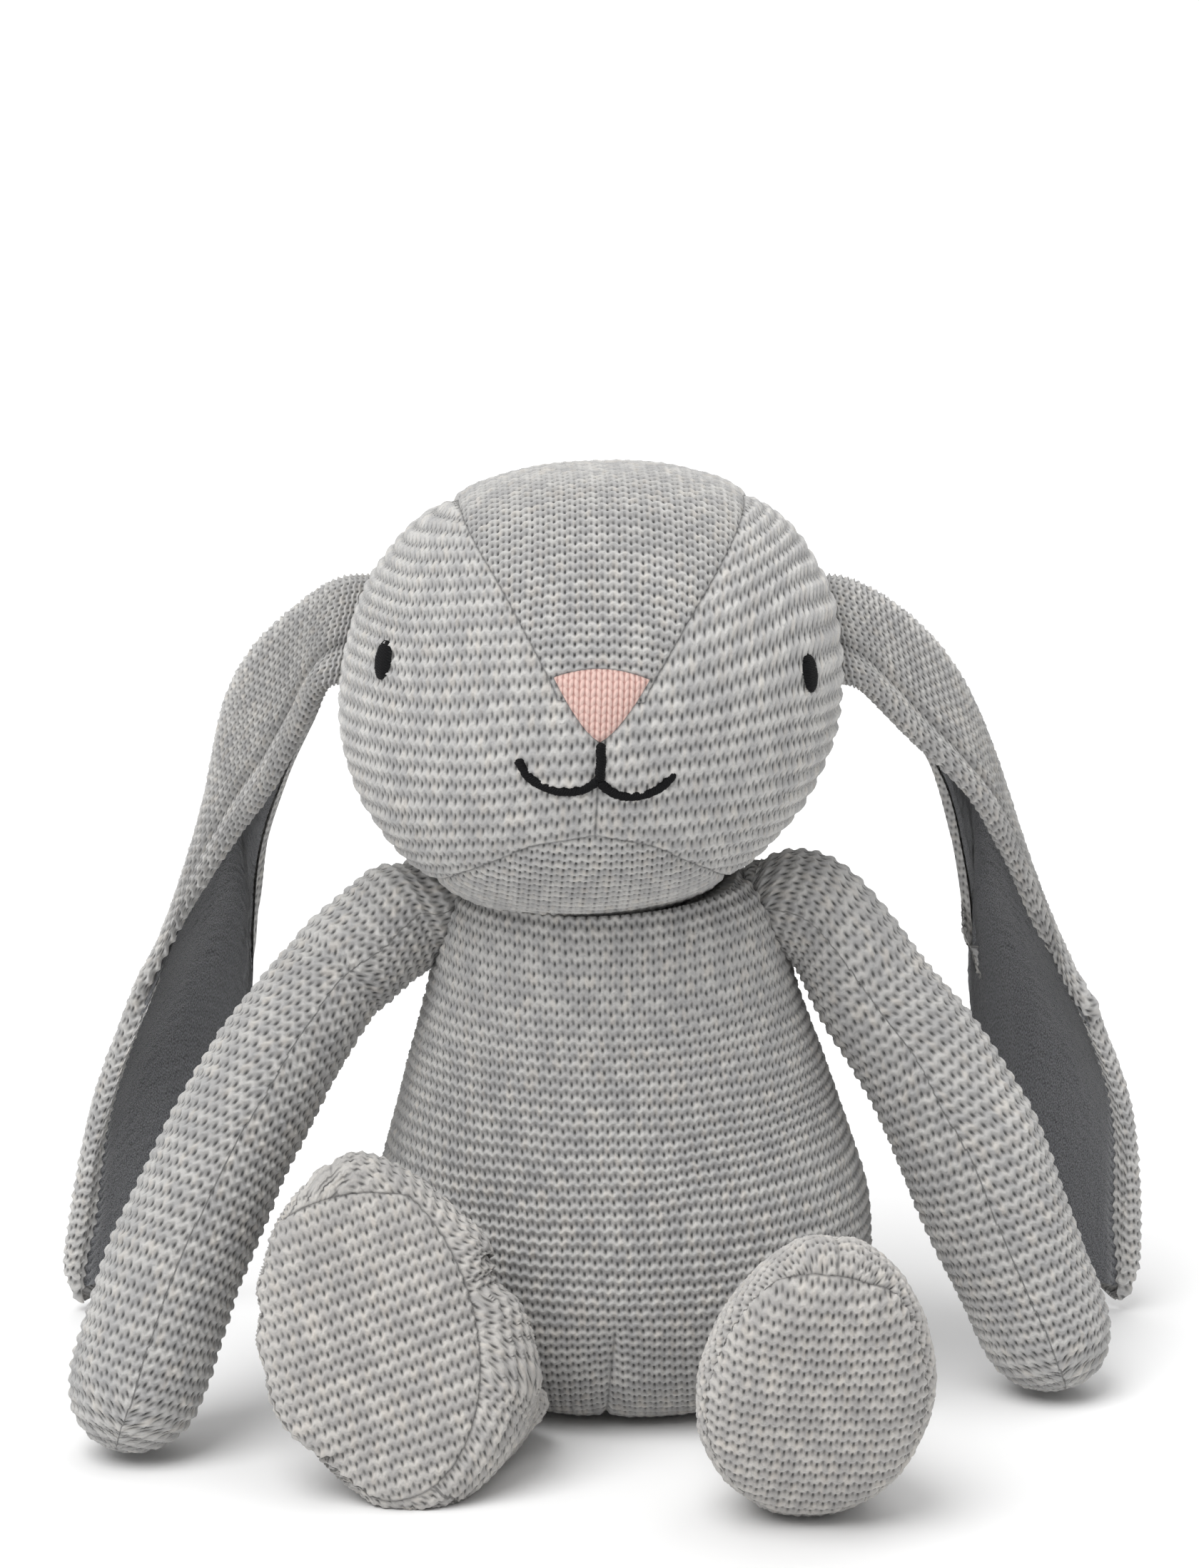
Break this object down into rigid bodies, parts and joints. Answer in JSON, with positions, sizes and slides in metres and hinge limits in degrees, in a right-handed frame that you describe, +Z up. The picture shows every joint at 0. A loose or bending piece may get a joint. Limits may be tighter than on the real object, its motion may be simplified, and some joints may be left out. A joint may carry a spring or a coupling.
{
  "type": "stuffed toy",
  "caption": "Sitting stuffed rabbit in ribbed grey knit with long lop ears, a gusseted head, embroidered face, tapered arms and padded feet that hinge at their seams.",
  "frame": {"origin": "on the floor, in the middle of the seat the rabbit sits on", "axes": "+Z up, -Y the way the rabbit faces, +X to the right of someone who faces it"},
  "size_m": [0.3268, 0.2389, 0.266],
  "materials": {
    "grey_knit": "marled light grey cotton garter-stitch knit, matt, slightly fuzzy",
    "ear_lining": "dark grey brushed jersey, matt",
    "nose_knit": "pale pink stocking-stitch knit, matt",
    "black_thread": "black satin-stitch embroidery",
    "seam_thread": "grey sewing thread, matt",
    "stuffing": "white polyester fibre fill",
    "bead_pouch": "plain cotton bag filled with plastic pellets"
  },
  "bodies": {
    "torso": {"body_front_panel": "grey_knit", "body_back_left_panel": "grey_knit", "body_back_right_panel": "grey_knit", "body_seat_panel": "grey_knit", "body_stuffing": "stuffing", "seat_bead_pouch": "bead_pouch", "back_closing_seam": "seam_thread", "tail_cover": "grey_knit", "tail_stuffing": "stuffing", "left_hip_seam": "seam_thread", "right_hip_seam": "seam_thread"},
    "neck": {"neck_seam": "seam_thread"},
    "head": {"forehead_gusset": "grey_knit", "left_cheek_panel": "grey_knit", "right_cheek_panel": "grey_knit", "chin_panel": "grey_knit", "nose_panel": "nose_knit", "head_stuffing": "stuffing", "left_eye": "black_thread", "right_eye": "black_thread", "mouth_embroidery": "black_thread"},
    "left_ear": {"left_ear_back": "grey_knit", "left_ear_lining": "ear_lining"},
    "right_ear": {"right_ear_back": "grey_knit", "right_ear_lining": "ear_lining"},
    "left_shoulder": {"left_shoulder_seam": "seam_thread"},
    "right_shoulder": {"right_shoulder_seam": "seam_thread"},
    "left_arm": {"left_arm_cover": "grey_knit", "left_arm_stuffing": "stuffing"},
    "right_arm": {"right_arm_cover": "grey_knit", "right_arm_stuffing": "stuffing"},
    "left_leg": {"left_leg_cover": "grey_knit", "left_sole_panel": "grey_knit", "left_leg_stuffing": "stuffing"},
    "right_leg": {"right_leg_cover": "grey_knit", "right_sole_panel": "grey_knit", "right_leg_stuffing": "stuffing"}
  },
  "joints": [
    {"name": "head_turn", "type": "hinge", "parent": "torso", "child": "neck", "pos_m": [-0.005, -0.003, 0.1375], "axis": [0, 0, 1], "range_deg": [-15, 15], "stiffness_Nm_per_rad": 0.6},
    {"name": "head_nod", "type": "hinge", "parent": "neck", "child": "head", "pos_m": [-0.005, -0.003, 0.1375], "axis": [1, 0, 0], "range_deg": [-10, 10], "stiffness_Nm_per_rad": 1.5},
    {"name": "left_arm_swing", "type": "hinge", "parent": "torso", "child": "left_shoulder", "pos_m": [-0.0512, 0, 0.1395], "axis": [-1, 0, 0], "range_deg": [-8, 60], "stiffness_Nm_per_rad": 0.06},
    {"name": "left_arm_raise", "type": "hinge", "parent": "left_shoulder", "child": "left_arm", "pos_m": [-0.0512, 0, 0.1395], "axis": [0, 1, 0], "range_deg": [-6, 45], "stiffness_Nm_per_rad": 0.06},
    {"name": "left_hip_flex", "type": "hinge", "parent": "torso", "child": "left_leg", "pos_m": [-0.0366, -0.0484, 0.0096], "axis": [-0.866, 0.5, 0], "range_deg": [-70, 10], "stiffness_Nm_per_rad": 0.15},
    {"name": "left_ear_lift", "type": "hinge", "parent": "head", "child": "left_ear", "pos_m": [-0.0774, 0.003, 0.234], "axis": [0, 1, 0], "range_deg": [0, 100], "stiffness_Nm_per_rad": 0.03},
    {"name": "right_arm_swing", "type": "hinge", "parent": "torso", "child": "right_shoulder", "pos_m": [0.0412, 0, 0.1395], "axis": [-1, 0, 0], "range_deg": [-8, 60], "stiffness_Nm_per_rad": 0.06},
    {"name": "right_arm_raise", "type": "hinge", "parent": "right_shoulder", "child": "right_arm", "pos_m": [0.0412, 0, 0.1395], "axis": [0, -1, 0], "range_deg": [-6, 45], "stiffness_Nm_per_rad": 0.06},
    {"name": "right_hip_flex", "type": "hinge", "parent": "torso", "child": "right_leg", "pos_m": [0.0366, -0.0484, 0.0096], "axis": [-0.866, -0.5, 0], "range_deg": [-70, 10], "stiffness_Nm_per_rad": 0.15},
    {"name": "right_ear_lift", "type": "hinge", "parent": "head", "child": "right_ear", "pos_m": [0.0618, 0.003, 0.234], "axis": [0, -1, 0], "range_deg": [0, 100], "stiffness_Nm_per_rad": 0.03}
  ]
}
